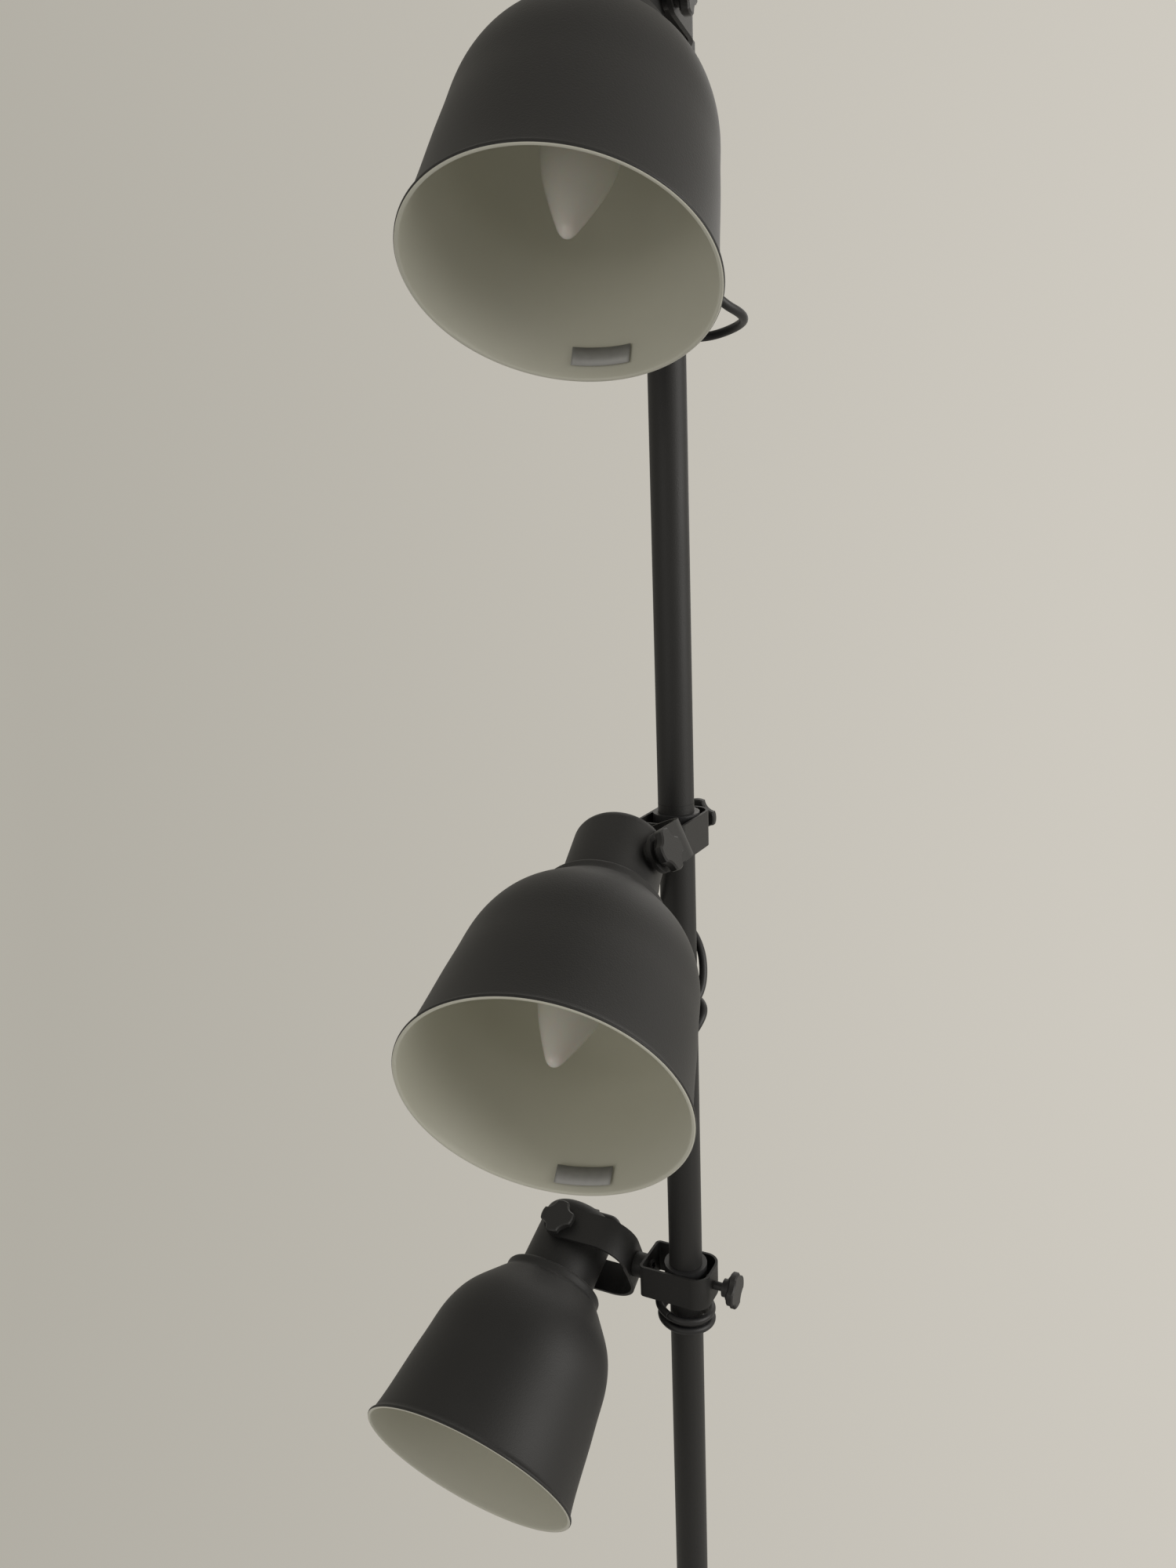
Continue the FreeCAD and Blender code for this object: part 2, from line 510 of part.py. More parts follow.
# ---------------------------------------------------------------- head
def shade():
    """Spun bell: rolled rim, flared skirt, dome, stepped shoulder, open where the holder fits."""
    def profile(inset, rim_z):
        """Outline edges of the bell from its mouth up to the shoulder, moved in by `inset`."""
        skirt = -MOUTH_DROP + SKIRT_LENGTH
        dome_foot = V(SKIRT_TOP_OD / 2 - inset, 0, skirt)
        dome_top = V(FILLET_OD / 2 - inset * 0.6, 0, -LEDGE_DROP - FILLET_DROP - inset * 0.9)
        shoulder = -LEDGE_DROP - SHOULDER_EDGE - SHOULDER_LENGTH + inset * -0.2
        belly = V(BELLY[1] - inset, 0, -MOUTH_DROP + BELLY[0])
        dome = [V(radius - inset, 0, skirt + height) for height, radius in DOME]
        foot = V(MOUTH_OD / 2 - inset, 0, rim_z)
        shoulder_foot = V(SHOULDER_OD / 2 - inset, 0, shoulder)
        out, down = SHOULDER_FLARE
        flare = V(SHOULDER_OD / 2 + out - inset * 0.8, 0, shoulder - down)
        return [curve([foot, belly, dome_foot]), curve([dome_foot] + dome + [dome_top]),
                curve([dome_top, flare, shoulder_foot])]

    top = -LEDGE_DROP
    edge = SHOULDER_EDGE
    c = edge * (1 - math.sqrt(0.5))
    radius = SHOULDER_OD / 2
    outer = profile(0, -MOUTH_DROP)
    start = outer[-1].Vertexes[-1].Point
    cap = [line(start, V(radius, 0, top - edge)),
           arc(V(radius, 0, top - edge), V(radius - c, 0, top - c), V(radius - edge, 0, top)),
           line(V(radius - edge, 0, top), V(0, 0, top)),
           line(V(0, 0, top), V(0, 0, -MOUTH_DROP)),
           line(V(0, 0, -MOUTH_DROP), outer[0].Vertexes[0].Point)]
    solid = turned(outer + cap)
    inner = profile(SHADE_WALL, -MOUTH_DROP)
    inner_start = inner[-1].Vertexes[-1].Point
    ceiling = top - SHADE_WALL
    hollow = turned(inner + [line(inner_start, V(inner_start.x, 0, ceiling)),
                             line(V(inner_start.x, 0, ceiling), V(0, 0, ceiling)),
                             line(V(0, 0, ceiling), V(0, 0, -MOUTH_DROP)),
                             line(V(0, 0, -MOUTH_DROP), inner[0].Vertexes[0].Point)])
    bell = solid.cut(hollow)
    bead = Part.makeTorus(MOUTH_OD / 2, RIM_BEAD / 2, V(0, 0, -MOUTH_DROP + RIM_BEAD / 2))
    bell = bell.fuse(bead)
    return bell.cut(cylinder(HOLDER_OD / 2 + HOLDER_CLEARANCE, top - 3, top + 1))


def neck_cup():
    """Closed cup above the shade, with the two tilt bosses and the lead's hole."""
    def cup(radius, top, edge):
        """Solid of the cup down to the ledge."""
        c = edge * (1 - math.sqrt(0.5))
        foot = -LEDGE_DROP
        return turned([line(V(0, 0, foot), V(radius, 0, foot)),
                       line(V(radius, 0, foot), V(radius, 0, top - edge)),
                       arc(V(radius, 0, top - edge), V(radius - c, 0, top - c),
                           V(radius - edge, 0, top)),
                       line(V(radius - edge, 0, top), V(0, 0, top)),
                       line(V(0, 0, top), V(0, 0, foot))])

    hollow = cup(NECK_R - NECK_WALL, NECK_RISE - NECK_WALL, NECK_EDGE_RADIUS - NECK_WALL)
    body = cup(NECK_R, NECK_RISE, NECK_EDGE_RADIUS)
    bosses = rod_y(BOSS_OD / 2, -ARM_IN + BOSS_GAP, ARM_IN - BOSS_GAP)
    core = rod_y(BOSS_OD / 2 + 1, -ARM_IN + SCREW_DEPTH + 1, ARM_IN - SCREW_DEPTH - 1)
    body = body.cut(hollow).fuse(bosses.cut(core)).removeSplitter()
    body = body.cut(rod_y(SCREW_OD / 2 + SCREW_CLEARANCE, -NECK_OD, NECK_OD))
    return body.cut(cylinder(ELBOW_STEM_OD / 2, NECK_RISE - NECK_WALL - 1, NECK_RISE + 1))


def lamp_holder():
    """Holder through the top of the shade, held by a ring nut below it."""
    body = cylinder(HOLDER_OD / 2, -HOLDER_DROP, HOLDER_RISE)
    ring = cylinder(HOLDER_RING_OD / 2, -LEDGE_DROP - SHADE_WALL - HOLDER_RING,
                    -LEDGE_DROP - SHADE_WALL)
    body = body.fuse(ring)
    mouth = cylinder(HOLDER_BORE_OD / 2, -HOLDER_DROP - 1, -HOLDER_DROP + HOLDER_MOUTH)
    bore = cylinder(BULB_CAP_OD / 2 + CAP_CLEARANCE, -HOLDER_DROP - 1, -HOLDER_DROP + BULB_CAP_LENGTH)
    return body.cut(mouth).cut(bore).removeSplitter()


def bulb():
    """Candle-shaped glass and its screw cap; the cap's end stands on the holder's contact."""
    tip = -HOLDER_DROP - BULB_LENGTH
    foot = -HOLDER_DROP
    radius = BULB_OD / 2
    points = [V(0, 0, tip)]
    points += [V(radius * share, 0, tip + height) for height, share in BULB_OUTLINE]
    points.append(V(BULB_FOOT_OD / 2, 0, foot))
    glass = turned([curve(points), line(points[-1], V(0, 0, foot)), line(V(0, 0, foot), points[0])])
    cap = cylinder(BULB_CAP_OD / 2, foot, foot + BULB_CAP_LENGTH)
    return glass, cap


def neck_elbow_frame(head):
    """Frame of the elbow on the closed end: X out of the neck, outlet to the pole's side."""
    up = FreeCAD.Placement(V(0, 0, 0), FreeCAD.Rotation(V(1, 0, 1), 180))
    return head_frame(head).multiply(up)


# ---------------------------------------------------------------- leads
# Every lead leaves the neck's closed end, runs through the hollow swivel bolt and down
# out of the clamp, hangs round the pole and goes in at an elbow. "straight" is its run in
# front of the elbow on the neck. "loop" lists the corners between neck and bolt in the clamp's
# frame, "drop" those inside the clamp. "hole_share" is the elbow's drop below the clamp as a
# share of the gap to the next clamp. "hang" lists the corners below the clamp as angle round
# the pole, distance from its axis and share of the elbow's drop. The bottom lead has no clamp
# below it, and starts with turns round the pole: "coil" is their first angle, last angle and
# height.
LEADS = {
    "top": {"straight": 2.2,
            "loop": [(49.5, 0, 10.8), (43.5, 0, 0)],
            "drop": [(17.6, 0, 0), (16.5, 5.0, -14.0)],
            "hang": [(-90, 19, 0.2308), (-87, 23, 0.3974), (-73, 26.5, 0.5513),
                     (-43, 33, 0.6795), (-12, 40, 0.7436), (12, 40, 0.7628),
                     (38, 32.5, 0.7724), (62, 23, 0.7788), (86, 16.5, 0.8077),
                     (100, 13.5, 0.8846)],
            "next": "middle", "hole_share": 0.4073, "hole_angle": 100.0},
    "middle": {"straight": 4.8,
               "loop": [],
               "drop": [(17.6, 0, 0), (16.5, -5.0, -14.0)],
               "hang": [(222, 16.5, 0.2113), (172, 17, 0.3239), (115, 17, 0.3944),
                        (62, 16.5, 0.4507), (15, 14.8, 0.5352), (-18, 14.8, 0.6479),
                        (-62, 16, 0.7113), (-112, 15.8, 0.7254), (-162, 15.8, 0.7324),
                        (-212, 15.8, 0.7394), (-262, 15.8, 0.7465),
                        (-312, 15.6, 0.7535), (-362, 15.2, 0.7676), (-404, 15, 0.8028),
                        (-450, 13.5, 0.8803)],
               "next": "bottom", "hole_share": 0.5018, "hole_angle": -90.0},
    "bottom": {"straight": 2.2,
               "loop": [(54.0, -21.6, 10.8), (45.5, 0, 0)],
               "drop": [(17.6, 0, 0), (16.5, 5.0, -16.0)],
               "coil": (193.0, 733.0, -18.0),
               "hang": [(58, 16, 0.55), (100, 13.5, 0.7333)],
               "hole_drop": 60.0, "hole_angle": 100.0},
}


def hole_drop(name):
    """How far below its clamp a head's lead goes into the pole."""
    lead = LEADS[name]
    if "next" in lead:
        return lead["hole_share"] * (HEADS[name]["height"] - HEADS[lead["next"]]["height"])
    return lead["hole_drop"]


def coil_corners(start, end, top):
    """Corners of the turns round the pole, from one angle to another, falling evenly."""
    step = 360.0 / COIL_STEPS
    count = int((end - start) / step)
    radius = COIL_RADIUS / math.cos(math.radians(step / 2))
    return [(start + k * step, radius, top - k * COIL_PITCH / COIL_STEPS) for k in range(count + 1)]


def lead_route(name):
    """Corners of one head's lead from its elbow on the neck to its elbow on the pole."""
    head = HEADS[name]
    lead = LEADS[name]
    clamp = clamp_frame(head)
    mouth = ELBOW_REACH - ELBOW_SOCKET
    start = neck_elbow_frame(head).multVec(V(NECK_RISE + ELBOW_AXIS, 0, -mouth))
    end_frame = elbow_frame(name)
    outlet = neck_elbow_frame(head).multVec(V(NECK_RISE + ELBOW_AXIS, 0,
                                              -ELBOW_REACH - lead["straight"]))
    route = [start, outlet]
    route += [clamp.multVec(V(*p)) for p in lead["loop"] + lead["drop"]]
    hang = [(angle, radius, -share * hole_drop(name)) for angle, radius, share in lead["hang"]]
    if "coil" in lead:
        hang = coil_corners(*lead["coil"]) + hang
    for angle, radius, z in hang:
        turn = math.radians(angle)
        route.append(V(radius * math.cos(turn), radius * math.sin(turn), head["height"] + z))
    route.append(end_frame.multVec(V(POLE_R + ELBOW_AXIS, 0, -mouth)))
    return route


def rounded_route(corners):
    """Wire of straight runs joined by tangent arcs, and the arcs' radii."""
    edges = []
    radii = []
    at = corners[0]
    for before, corner, after in zip(corners, corners[1:], corners[2:]):
        back = (before - corner).normalize()
        ahead = (after - corner).normalize()
        half_turn = (math.pi - back.getAngle(ahead)) / 2
        tangent = 0.45 * min((before - corner).Length, (after - corner).Length)
        radius = tangent / math.tan(half_turn)
        a = corner + back * tangent
        b = corner + ahead * tangent
        centre = corner + (back + ahead).normalize() * (radius / math.cos(half_turn))
        middle = centre + (corner - centre).normalize() * radius
        edges.append(line(at, a))
        edges.append(arc(a, middle, b))
        radii.append(radius)
        at = b
    edges.append(line(at, corners[-1]))
    return Part.Wire(edges), radii


def lead_tube(name):
    """Round lead swept along its route."""
    wire, radii = rounded_route(lead_route(name))
    first = wire.Edges[0]
    start = first.Vertexes[0].Point
    aim = first.Vertexes[-1].Point - start
    section = Part.Wire(Part.makeCircle(LEAD_R, start, aim))
    sweep = wire.makePipeShell([section], True, False)
    print("%s lead: %.0f mm, radii %s" % (name, wire.Length, " ".join("%.1f" % r for r in radii)))
    print("  volume over section x length: %.4f" % (sweep.Volume / (math.pi * LEAD_R ** 2 * wire.Length)))
    return sweep


# ---------------------------------------------------------------- write every sub-part
def build_root():
    """Pole, its ends and the elbows in it."""
    floor_end()
    save("cord_gland", cord_gland())
    pole_tubes()
    spring_end()
    save("pole_elbows", Part.makeCompound([elbow(elbow_frame(name), POLE_R, POLE_R)
                                           for name in HEADS]))


def build_head(name, head):
    """One clamp, yoke and head with its lead."""
    clamp = clamp_frame(head)
    swivel = yoke_frame(head)
    tilt_axis = swivel.multiply(FreeCAD.Placement(V(PIVOT_REACH, 0, 0), FreeCAD.Rotation()))
    pivot = head_frame(head)
    liner = tube(LINER_R, LINER_IR, -LINER_HEIGHT / 2, LINER_HEIGHT / 2)
    glass, cap = bulb()
    pieces = {
        "liner": placed(liner, clamp),
        "clamp_band": placed(clamp_band(), clamp),
        "swivel_nipple": placed(swivel_nipple(), clamp),
        "swivel_nut": placed(swivel_nut(), clamp),
        "clamp_knob": placed(clamp_knob(), clamp),
        "yoke": placed(yoke(), swivel),
        "tilt_knob_a": placed(tilt_knob(1), tilt_axis),
        "tilt_knob_b": placed(tilt_knob(-1), tilt_axis),
        "shade": placed(shade(), pivot),
        "neck_cup": placed(neck_cup(), pivot),
        "lamp_holder": placed(lamp_holder(), pivot),
        "bulb_glass": placed(glass, pivot),
        "bulb_cap": placed(cap, pivot),
        "neck_elbow": elbow(neck_elbow_frame(head), NECK_RISE, 0),
        "lead": lead_tube(name),
    }
    for piece, shape in pieces.items():
        save("%s_%s" % (name, piece), shape)


build_root()
for head_name, head_sizes in HEADS.items():
    build_head(head_name, head_sizes)
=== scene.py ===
import bpy
import math
import mathutils
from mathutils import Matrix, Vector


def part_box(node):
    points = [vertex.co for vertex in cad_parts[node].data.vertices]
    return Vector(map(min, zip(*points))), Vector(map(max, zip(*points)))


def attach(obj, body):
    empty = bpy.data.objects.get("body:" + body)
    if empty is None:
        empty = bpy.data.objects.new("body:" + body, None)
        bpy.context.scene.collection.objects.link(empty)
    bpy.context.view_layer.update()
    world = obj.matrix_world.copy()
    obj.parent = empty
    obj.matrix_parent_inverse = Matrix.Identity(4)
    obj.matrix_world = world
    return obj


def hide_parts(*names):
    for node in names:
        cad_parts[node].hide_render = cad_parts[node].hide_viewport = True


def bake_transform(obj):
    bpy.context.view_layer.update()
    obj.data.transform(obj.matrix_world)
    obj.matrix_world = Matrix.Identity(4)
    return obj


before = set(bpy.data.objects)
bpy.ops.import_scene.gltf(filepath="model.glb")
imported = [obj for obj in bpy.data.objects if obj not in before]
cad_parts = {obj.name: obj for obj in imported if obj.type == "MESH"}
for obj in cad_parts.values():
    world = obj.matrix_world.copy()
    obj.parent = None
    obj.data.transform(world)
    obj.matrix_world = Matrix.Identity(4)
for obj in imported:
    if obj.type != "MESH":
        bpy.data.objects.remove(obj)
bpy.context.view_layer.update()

# ---------------------------------------------------------------- camera
# Eye-height camera close to the pole, pitched down and leaning slightly. It was solved from the
# rims, shades, clamps and knobs of all three heads.
CAMERA_AT = (-0.0482, -0.6307, 1.600)
CAMERA_PITCH = math.radians(13.18)
CAMERA_ROLL = math.radians(-2.21)
FOCAL_PIXELS = 1502.0
IMAGE_HEIGHT = 2000.0

look = mathutils.Vector((0.0, math.cos(CAMERA_PITCH), -math.sin(CAMERA_PITCH)))
level_right = mathutils.Vector((1.0, 0.0, 0.0))
level_up = level_right.cross(look)
camera_right = math.cos(CAMERA_ROLL) * level_right + math.sin(CAMERA_ROLL) * level_up
camera_up = camera_right.cross(look)
camera_data = bpy.data.cameras.new("camera")
camera_data.sensor_fit = "VERTICAL"
camera_data.sensor_height = 24.0
camera_data.lens = FOCAL_PIXELS / IMAGE_HEIGHT * camera_data.sensor_height
camera = bpy.data.objects.new("camera", camera_data)
bpy.context.collection.objects.link(camera)
camera.matrix_world = mathutils.Matrix((
    (camera_right.x, camera_up.x, -look.x, CAMERA_AT[0]),
    (camera_right.y, camera_up.y, -look.y, CAMERA_AT[1]),
    (camera_right.z, camera_up.z, -look.z, CAMERA_AT[2]),
    (0.0, 0.0, 0.0, 1.0),
))
bpy.context.scene.camera = camera
bpy.context.scene.view_settings.view_transform = "Standard"


# ---------------------------------------------------------------- the three heads' places
# Each head has a clamp on the pole, a yoke that swivels about the arm and a shade that tilts in
# it. The angles are those of the CAD model, in degrees.
PIVOT_REACH = 0.0792
HEADS = {
    "top": {"height": 1.807, "turn": -109.8, "swivel": 0.0, "tilt": 58.2},
    "middle": {"height": 1.424, "turn": -118.0, "swivel": 24.4, "tilt": 27.3},
    "bottom": {"height": 1.141, "turn": 153.0, "swivel": 63.4, "tilt": 88.6},
}


def clamp_matrix(head):
    """Clamp: origin on the pole's axis, X along the arm."""
    place = mathutils.Matrix.Translation((0.0, 0.0, head["height"]))
    return place @ mathutils.Matrix.Rotation(math.radians(head["turn"]), 4, "Z")


def head_matrix(head):
    """Head: origin on the tilt axis, Z from the mouth to the closed end."""
    swivel = mathutils.Matrix.Rotation(math.radians(head["swivel"]), 4, "X")
    reach = mathutils.Matrix.Translation((PIVOT_REACH, 0.0, 0.0))
    tilt = mathutils.Matrix.Rotation(math.radians(head["tilt"] - 90.0), 4, "Y")
    return clamp_matrix(head) @ swivel @ reach @ tilt


def link_mesh(name, points, faces, smooth=True):
    """New mesh object in the row frame."""
    mesh = bpy.data.meshes.new(name)
    mesh.from_pydata([tuple(p) for p in points], [], faces)
    mesh.update()
    if smooth:
        mesh.shade_smooth()
    piece = bpy.data.objects.new(name, mesh)
    bpy.context.collection.objects.link(piece)
    return piece


# ---------------------------------------------------------------- leads
# Black round flex, one for each head. It leaves an elbow on the neck, runs through the hollow
# swivel bolt, drops out of the clamp, hangs round the pole and goes in at an elbow.
LEAD_DIAMETER = 0.0046
LEAD_SIDES = 20
BOLT_MOUTH = 0.021
CLAMP_BOTTOM = {"top": 0.030, "middle": 0.030, "bottom": 0.0175}
POINTS_WITH_CLAMP = {"top": 0, "middle": 0, "bottom": 12}
ROUTES = {
    "top": [
        (-20.7, -57.4, 1824.9), (-19.5, -54.1, 1822.7), (-16.8, -46.6, 1817.8),
        (-14.7, -40.9, 1807.0),
        (-6.0, -16.6, 1807.0), (-0.9, -17.2, 1793.0), (0.0, -19.0, 1771.0), (1.2, -23.0, 1745.0),
        (7.7, -25.3, 1715.0), (24.1, -23.5, 1695.0), (39.0, -9.3, 1690.0), (39.0, 8.3, 1688.0),
        (25.6, 20.0, 1684.5), (10.8, 20.3, 1684.5), (1.2, 16.5, 1681.0), (-2.3, 13.3, 1669.0),
        (-2.3, 13.3, 1657.0)],
    "middle": [
        (-27.7, -46.9, 1429.5), (-24.1, -45.3, 1424.0), (-8.3, -15.5, 1424.0), (-12.2, -12.2, 1410.0),
        (-12.9, -9.0, 1394.0), (-15.2, 2.4, 1380.0), (-7.2, 14.8, 1371.0), (7.4, 14.3, 1363.0),
        (13.6, 3.8, 1351.0), (13.4, -4.6, 1335.5), (7.5, -14.1, 1326.5), (-5.9, -14.6, 1324.0),
        (-15.0, -4.9, 1323.0), (-13.4, 8.4, 1322.0), (-2.2, 15.6, 1321.0), (9.8, 11.4, 1320.0),
        (14.2, -0.5, 1318.0), (10.4, -10.2, 1313.0), (0.0, -13.5, 1300.0), (0.0, -13.5, 1288.0)],
    "bottom": [
        (-54.7, 52.6, 1152.0), (-51.0, 50.6, 1152.0), (-38.3, 43.8, 1151.8), (-40.5, 20.7, 1141.0),
        (-15.7, 8.0, 1141.0), (-17.0, 3.0, 1125.0), (-16.3, -3.8, 1123.0), (-8.9, -14.2, 1122.2),
        (3.8, -16.3, 1121.4), (14.2, -8.9, 1120.6), (16.3, 3.8, 1119.8), (8.9, 14.2, 1119.0),
        (-3.8, 16.3, 1118.2), (-14.2, 8.9, 1117.4), (-16.3, -3.8, 1116.6), (-8.9, -14.2, 1115.8),
        (3.8, -16.3, 1115.0), (14.2, -8.9, 1114.2), (16.3, 3.8, 1113.4), (8.5, 13.6, 1108.0),
        (-2.3, 13.3, 1097.0), (-2.3, 13.3, 1087.0)],
}


def lead_material():
    """Black sheath: satin, with faint long waves in its gloss."""
    material = bpy.data.materials.new("lead_sheath")
    material.use_nodes = True
    nodes = material.node_tree.nodes
    links = material.node_tree.links
    shader = nodes["Principled BSDF"]
    shader.inputs["Base Color"].default_value = (0.006, 0.006, 0.007, 1.0)
    place = nodes.new("ShaderNodeTexCoord")
    waves = nodes.new("ShaderNodeTexNoise")
    waves.inputs["Scale"].default_value = 90.0
    waves.inputs["Detail"].default_value = 3.0
    gloss = nodes.new("ShaderNodeMapRange")
    gloss.inputs["To Min"].default_value = 0.42
    gloss.inputs["To Max"].default_value = 0.58
    links.new(place.outputs["Object"], waves.inputs["Vector"])
    links.new(waves.outputs["Fac"], gloss.inputs["Value"])
    links.new(gloss.outputs["Result"], shader.inputs["Roughness"])
    return material


def route_points(name, corners):
    """Points along the smooth line that the corners control."""
    data = bpy.data.curves.new(name + "_route", "CURVE")
    data.dimensions = "3D"
    data.resolution_u = 14
    spline = data.splines.new("NURBS")
    spline.points.add(len(corners) - 1)
    for point, corner in zip(spline.points, corners):
        point.co = (*corner, 1.0)
    spline.order_u = 3
    spline.use_endpoint_u = True
    guide = bpy.data.objects.new(name + "_route", data)
    mesh = bpy.data.meshes.new_from_object(guide)
    points = [v.co.copy() for v in mesh.vertices]
    bpy.data.objects.remove(guide)
    bpy.data.meshes.remove(mesh)
    bpy.data.curves.remove(data)
    return points


def tube_along(name, points, diameter, sides):
    """Closed round tube that follows the points, turned as little as possible on the way."""
    rings = []
    heading = (points[1] - points[0]).normalized()
    side = heading.orthogonal().normalized()
    for k, point in enumerate(points):
        before = points[max(k - 1, 0)]
        after = points[min(k + 1, len(points) - 1)]
        turned = (after - before).normalized()
        side = heading.rotation_difference(turned) @ side
        side = (side - side.dot(turned) * turned).normalized()
        heading = turned
        up = heading.cross(side)
        for j in range(sides):
            angle = 2.0 * math.pi * j / sides
            rings.append(point + diameter / 2 * (math.cos(angle) * side + math.sin(angle) * up))
    faces = []
    for k in range(len(points) - 1):
        for j in range(sides):
            a = k * sides + j
            b = k * sides + (j + 1) % sides
            faces.append((a, b, b + sides, a + sides))
    faces.append(tuple(reversed(range(sides))))
    last = (len(points) - 1) * sides
    faces.append(tuple(range(last, last + sides)))
    return link_mesh(name, rings, faces)


sheath = lead_material()
for name, corners in ROUTES.items():
    line = route_points(name, [mathutils.Vector(corner) / 1000.0 for corner in corners])
    bolt_end = clamp_matrix(HEADS[name]) @ mathutils.Vector((BOLT_MOUTH, 0.0, 0.0))
    cut_bolt = min(range(len(line)), key=lambda k: (line[k] - bolt_end).length)
    below = HEADS[name]["height"] - CLAMP_BOTTOM[name]
    cut_clamp = next(k for k in range(cut_bolt, len(line)) if line[k].z < below)
    cut_clamp += POINTS_WITH_CLAMP[name]
    parts = {
        "neck": (line[:cut_bolt + 1], name + "_yoke", name + "_head"),
        "clamp": (line[cut_bolt:cut_clamp + 1], name + "_clamp", name + "_carriage"),
        "hang": (line[cut_clamp:], name + "_carriage", "pole"),
    }
    for part, (points, body_a, body_b) in parts.items():
        piece = tube_along("%s_lead_%s" % (name, part), points, LEAD_DIAMETER, LEAD_SIDES)
        piece.data.materials.append(sheath)
        if part == "neck":
            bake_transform(piece)
        elif part == "hang":
            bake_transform(piece)
        else:
            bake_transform(piece)
        if part == "hang":
            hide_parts(name + "_lead")


# ---------------------------------------------------------------- powder coat
# The pole, clamps, yokes, knobs and the outside of the heads have one dark grey powder coat: a fine
# pebbled skin, matt, slightly paler in scattered specks where it catches dust.
def powder_coat(name, shade_of_grey, pebble_size, gloss):
    """Matt powder coat with a fine pebbled bump and faint blotches."""
    material = bpy.data.materials.new(name)
    material.use_nodes = True
    nodes = material.node_tree.nodes
    links = material.node_tree.links
    shader = nodes["Principled BSDF"]
    shader.inputs["Specular IOR Level"].default_value = 0.34
    place = nodes.new("ShaderNodeTexCoord")

    blotches = nodes.new("ShaderNodeTexNoise")
    blotches.inputs["Scale"].default_value = 16.0
    blotches.inputs["Detail"].default_value = 5.0
    colour = nodes.new("ShaderNodeValToRGB")
    low = colour.color_ramp.elements[0]
    high = colour.color_ramp.elements[1]
    low.position = 0.3
    high.position = 0.75
    low.color = (shade_of_grey * 0.93, shade_of_grey * 0.92, shade_of_grey * 0.90, 1.0)
    high.color = (shade_of_grey * 1.08, shade_of_grey * 1.06, shade_of_grey * 1.03, 1.0)
    speckle = nodes.new("ShaderNodeTexVoronoi")
    speckle.inputs["Scale"].default_value = 620.0
    dust = nodes.new("ShaderNodeMapRange")
    dust.inputs["From Min"].default_value = 0.02
    dust.inputs["From Max"].default_value = 0.10
    dust.inputs["To Min"].default_value = 0.22
    dust.inputs["To Max"].default_value = 0.0
    thin = nodes.new("ShaderNodeTexNoise")
    thin.inputs["Scale"].default_value = 55.0
    rare = nodes.new("ShaderNodeMapRange")
    rare.inputs["From Min"].default_value = 0.58
    rare.inputs["From Max"].default_value = 0.72
    both = nodes.new("ShaderNodeMath")
    both.operation = "MULTIPLY"
    dusty = nodes.new("ShaderNodeMixRGB")
    dusty.inputs["Color2"].default_value = (0.30, 0.29, 0.27, 1.0)

    pebbles = nodes.new("ShaderNodeTexNoise")
    pebbles.inputs["Scale"].default_value = pebble_size
    pebbles.inputs["Detail"].default_value = 2.0
    bump = nodes.new("ShaderNodeBump")
    bump.inputs["Strength"].default_value = 0.32
    bump.inputs["Distance"].default_value = 0.0003
    roughness = nodes.new("ShaderNodeMapRange")
    roughness.inputs["To Min"].default_value = gloss - 0.06
    roughness.inputs["To Max"].default_value = gloss + 0.10

    for texture in (blotches, speckle, thin, pebbles):
        links.new(place.outputs["Object"], texture.inputs["Vector"])
    links.new(blotches.outputs["Fac"], colour.inputs["Fac"])
    links.new(speckle.outputs["Distance"], dust.inputs["Value"])
    links.new(thin.outputs["Fac"], rare.inputs["Value"])
    links.new(dust.outputs["Result"], both.inputs[0])
    links.new(rare.outputs["Result"], both.inputs[1])
    links.new(both.outputs["Value"], dusty.inputs["Fac"])
    links.new(colour.outputs["Color"], dusty.inputs["Color1"])
    links.new(dusty.outputs["Color"], shader.inputs["Base Color"])
    links.new(pebbles.outputs["Fac"], bump.inputs["Height"])
    links.new(bump.outputs["Normal"], shader.inputs["Normal"])
    links.new(blotches.outputs["Fac"], roughness.inputs["Value"])
    links.new(roughness.outputs["Result"], shader.inputs["Roughness"])
    return material


def finish_node(node, material, sharp_degrees=32.0):
    """Smooth shading with crisp edges and a material for a piece kept from the CAD model."""
    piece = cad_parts[node]
    piece.data.shade_smooth()
    piece.data.set_sharp_from_angle(angle=math.radians(sharp_degrees))
    piece.data.materials.clear()
    piece.data.materials.append(material)


pole_coat = powder_coat("pole_coat", 0.018, 1500.0, 0.50)
knob_coat = powder_coat("knob_coat", 0.024, 1500.0, 0.46)
for node in ("pole_lower_tube", "pole_middle_tube", "pole_upper_tube", "pole_top_tube", "floor_cup",
             "ceiling_cup"):
    finish_node(node, pole_coat)
for name in HEADS:
    for part in ("clamp_band", "swivel_nipple", "swivel_nut", "yoke"):
        finish_node("%s_%s" % (name, part), pole_coat)
    for part in ("clamp_knob", "tilt_knob_a", "tilt_knob_b"):
        finish_node("%s_%s" % (name, part), knob_coat)


